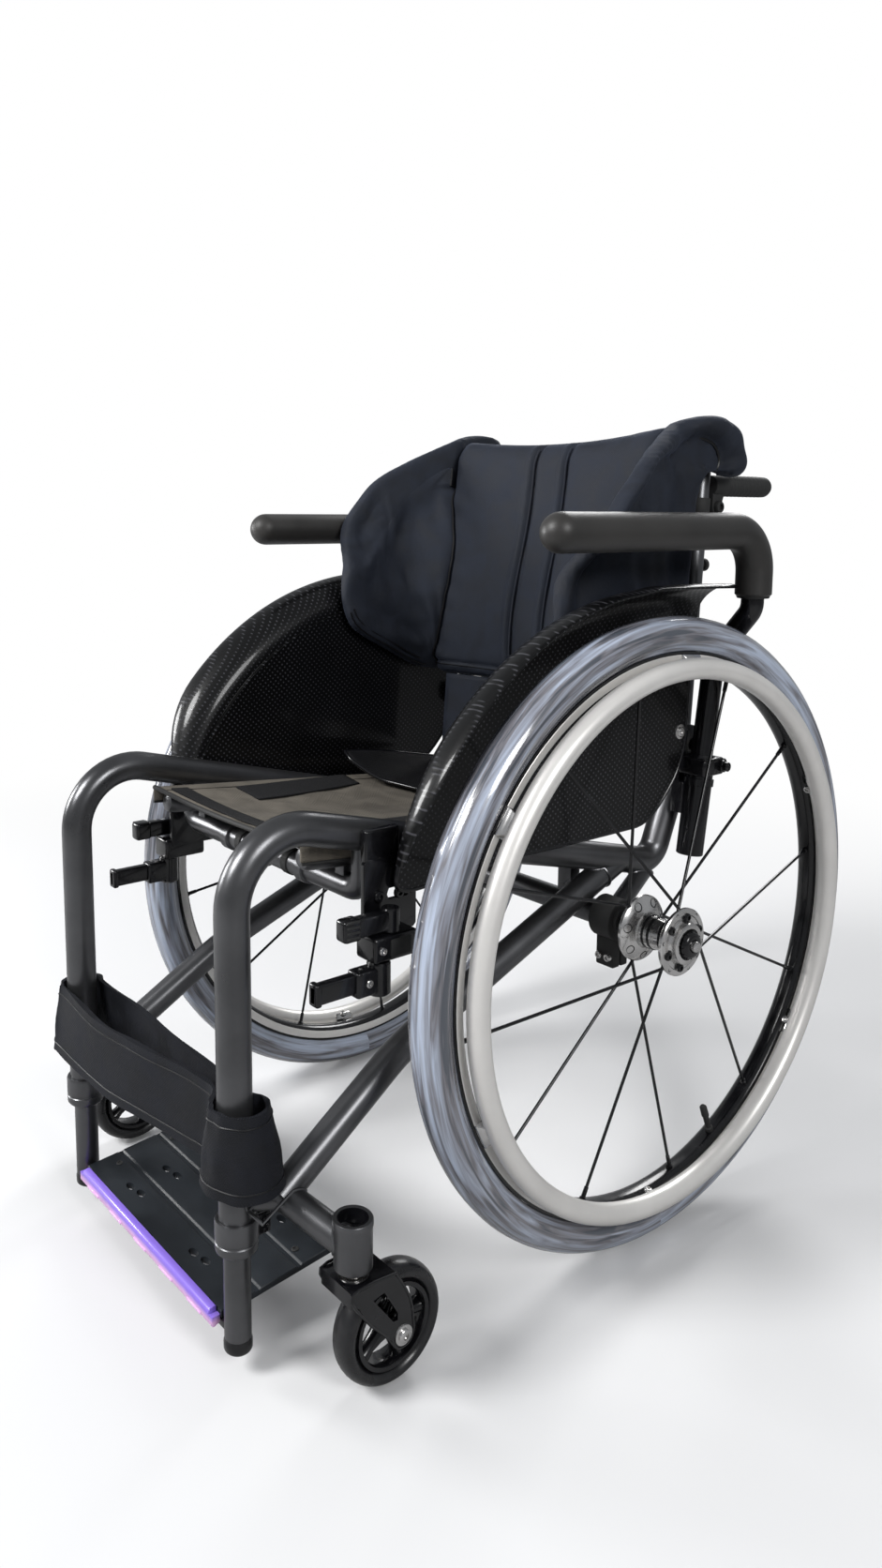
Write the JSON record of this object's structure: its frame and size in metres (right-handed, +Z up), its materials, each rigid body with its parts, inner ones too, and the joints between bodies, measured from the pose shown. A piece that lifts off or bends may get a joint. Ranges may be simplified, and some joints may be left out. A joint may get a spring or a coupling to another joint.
{
  "type": "wheelchair",
  "caption": "Rigid-frame manual wheelchair with spoked rear wheels and handrims, swivel casters, padded back with side wings, armrests, side guards and footplate.",
  "frame": {"origin": "on the floor, under the middle of the whole chair's bounding box", "axes": "+Z up, +X towards the user's left, the chair faces -Y and its rear axle lies along X at Y 0.0716, Z 0.300"},
  "size_m": [0.5516, 0.7432, 0.797],
  "materials": {
    "frame_paint": "satin dark grey",
    "black_paint": "gloss black",
    "black_plastic": "matt black",
    "gloss_plastic": "gloss black",
    "foam": "matt dark grey foam",
    "cloth": "navy-black padded cloth",
    "sling": "taupe-grey woven cloth",
    "carbon": "glossy black weave",
    "silver": "satin anodised",
    "alloy": "machined",
    "tyre": "grey rubber",
    "caster_tyre": "glossy black",
    "plate": "dark blue-grey",
    "lilac": "lilac edge strip"
  },
  "bodies": {
    "frame": {"side_tube_left": "frame_paint", "side_tube_right": "frame_paint", "diagonal_tube_left": "frame_paint", "diagonal_tube_right": "frame_paint", "caster_arm_left": "frame_paint", "caster_arm_right": "frame_paint", "axle_clamp_left": "black_plastic", "axle_clamp_right": "black_plastic", "armrest_receiver_left": "black_paint", "armrest_receiver_right": "black_paint", "side_guard_left": "carbon", "side_guard_right": "carbon", "brake_plate_left": "black_paint", "brake_plate_right": "black_paint", "clamp_collar_left": "frame_paint", "clamp_collar_right": "frame_paint", "axle_pin_left": "black_paint", "axle_pin_right": "black_paint", "seat_subframe": "frame_paint", "axle_tube": "frame_paint", "seat_sling": "sling", "calf_strap": "cloth"},
    "footrest": {"footrest_tube_left": "frame_paint", "footrest_tube_right": "frame_paint", "footplate": "plate", "footplate_strip": "lilac"},
    "backrest": {"back_post_left": "frame_paint", "back_post_right": "frame_paint", "back_wing_left": "cloth", "back_wing_right": "cloth", "back_bar": "frame_paint", "back_pad": "cloth", "back_lower_panel": "cloth"},
    "push_handle_left": {"push_handle_left": "black_plastic"},
    "armrest_left": {"armrest_tube_left": "black_paint", "armrest_pad_left": "foam"},
    "brake_lever_left": {"brake_lever_left": "gloss_plastic"},
    "brake_shoe_left": {"brake_shoe_left": "gloss_plastic"},
    "caster_swivel_left": {"caster_fork_left": "black_paint"},
    "caster_wheel_left": {"caster_tyre_left": "caster_tyre", "caster_hub_left": "gloss_plastic"},
    "rear_wheel_left": {"rear_tyre_left": "tyre", "rear_rim_left": "black_paint", "rear_hub_left": "alloy", "handrim_left": "silver"},
    "axle_button_left": {"axle_button_left": "alloy"},
    "push_handle_right": {"push_handle_right": "black_plastic"},
    "armrest_right": {"armrest_tube_right": "black_paint", "armrest_pad_right": "foam"},
    "brake_lever_right": {"brake_lever_right": "gloss_plastic"},
    "brake_shoe_right": {"brake_shoe_right": "gloss_plastic"},
    "caster_swivel_right": {"caster_fork_right": "black_paint"},
    "caster_wheel_right": {"caster_tyre_right": "caster_tyre", "caster_hub_right": "gloss_plastic"},
    "rear_wheel_right": {"rear_tyre_right": "tyre", "rear_rim_right": "black_paint", "rear_hub_right": "alloy", "handrim_right": "silver"},
    "axle_button_right": {"axle_button_right": "alloy"}
  },
  "joints": [
    {"name": "footrest_height", "type": "slide", "parent": "frame", "child": "footrest", "axis": [0, 0, 1], "range_m": [0, 0.05]},
    {"name": "backrest_fold", "type": "hinge", "parent": "frame", "child": "backrest", "pos_m": [0, 0.2089, 0.455], "axis": [1, 0, 0], "range_deg": [0, 68], "deforming": ["back_wing_left", "back_wing_right"]},
    {"name": "push_handle_left_fold", "type": "hinge", "parent": "backrest", "child": "push_handle_left", "pos_m": [0.146, 0.2491, 0.7], "axis": [-1, 0, 0], "range_deg": [0, 90]},
    {"name": "armrest_left_swing", "type": "hinge", "parent": "frame", "child": "armrest_left", "pos_m": [0.182, 0.1831, 0.345], "axis": [0, 0.1392, 0.9903], "range_deg": [0, 100]},
    {"name": "brake_lever_left_turn", "type": "hinge", "parent": "frame", "child": "brake_lever_left", "pos_m": [0.181, -0.2254, 0.317], "axis": [0, 0, 1], "range_deg": [0, 75]},
    {"name": "brake_shoe_left_turn", "type": "hinge", "parent": "frame", "child": "brake_shoe_left", "pos_m": [0.181, -0.2134, 0.364], "axis": [0, 0, 1], "range_deg": [0, 70]},
    {"name": "caster_left_swivel", "type": "hinge", "parent": "frame", "child": "caster_swivel_left", "pos_m": [0.2255, -0.2854, 0.08], "axis": [0, 0, 1], "continuous": true},
    {"name": "caster_left_roll", "type": "hinge", "parent": "caster_swivel_left", "child": "caster_wheel_left", "pos_m": [0.2255, -0.2514, 0.05], "axis": [1, 0, 0], "continuous": true},
    {"name": "rear_wheel_left_roll", "type": "hinge", "parent": "frame", "child": "rear_wheel_left", "pos_m": [0.2288, 0.0716, 0.3], "axis": [1, 0, 0], "continuous": true},
    {"name": "axle_button_left_press", "type": "slide", "parent": "frame", "child": "axle_button_left", "axis": [-1, 0, 0], "range_m": [0, 0.004], "stiffness_N_per_m": 300, "springref_m": -0.002},
    {"name": "push_handle_right_fold", "type": "hinge", "parent": "backrest", "child": "push_handle_right", "pos_m": [-0.146, 0.2491, 0.7], "axis": [-1, 0, 0], "range_deg": [0, 90]},
    {"name": "armrest_right_swing", "type": "hinge", "parent": "frame", "child": "armrest_right", "pos_m": [-0.182, 0.1831, 0.345], "axis": [0, -0.1392, -0.9903], "range_deg": [0, 100]},
    {"name": "brake_lever_right_turn", "type": "hinge", "parent": "frame", "child": "brake_lever_right", "pos_m": [-0.181, -0.2254, 0.317], "axis": [0, 0, -1], "range_deg": [0, 75]},
    {"name": "brake_shoe_right_turn", "type": "hinge", "parent": "frame", "child": "brake_shoe_right", "pos_m": [-0.181, -0.2134, 0.364], "axis": [0, 0, -1], "range_deg": [0, 70]},
    {"name": "caster_right_swivel", "type": "hinge", "parent": "frame", "child": "caster_swivel_right", "pos_m": [-0.2255, -0.2854, 0.08], "axis": [0, 0, 1], "continuous": true},
    {"name": "caster_right_roll", "type": "hinge", "parent": "caster_swivel_right", "child": "caster_wheel_right", "pos_m": [-0.2255, -0.2514, 0.05], "axis": [1, 0, 0], "continuous": true},
    {"name": "rear_wheel_right_roll", "type": "hinge", "parent": "frame", "child": "rear_wheel_right", "pos_m": [-0.2288, 0.0716, 0.3], "axis": [1, 0, 0], "continuous": true},
    {"name": "axle_button_right_press", "type": "slide", "parent": "frame", "child": "axle_button_right", "axis": [1, 0, 0], "range_m": [0, 0.004], "stiffness_N_per_m": 300, "springref_m": -0.002}
  ],
  "couplings": [
    {"joint": "brake_shoe_left_turn", "follows": "brake_lever_left_turn", "ratio": 0.9333},
    {"joint": "brake_shoe_right_turn", "follows": "brake_lever_right_turn", "ratio": 0.9333}
  ]
}
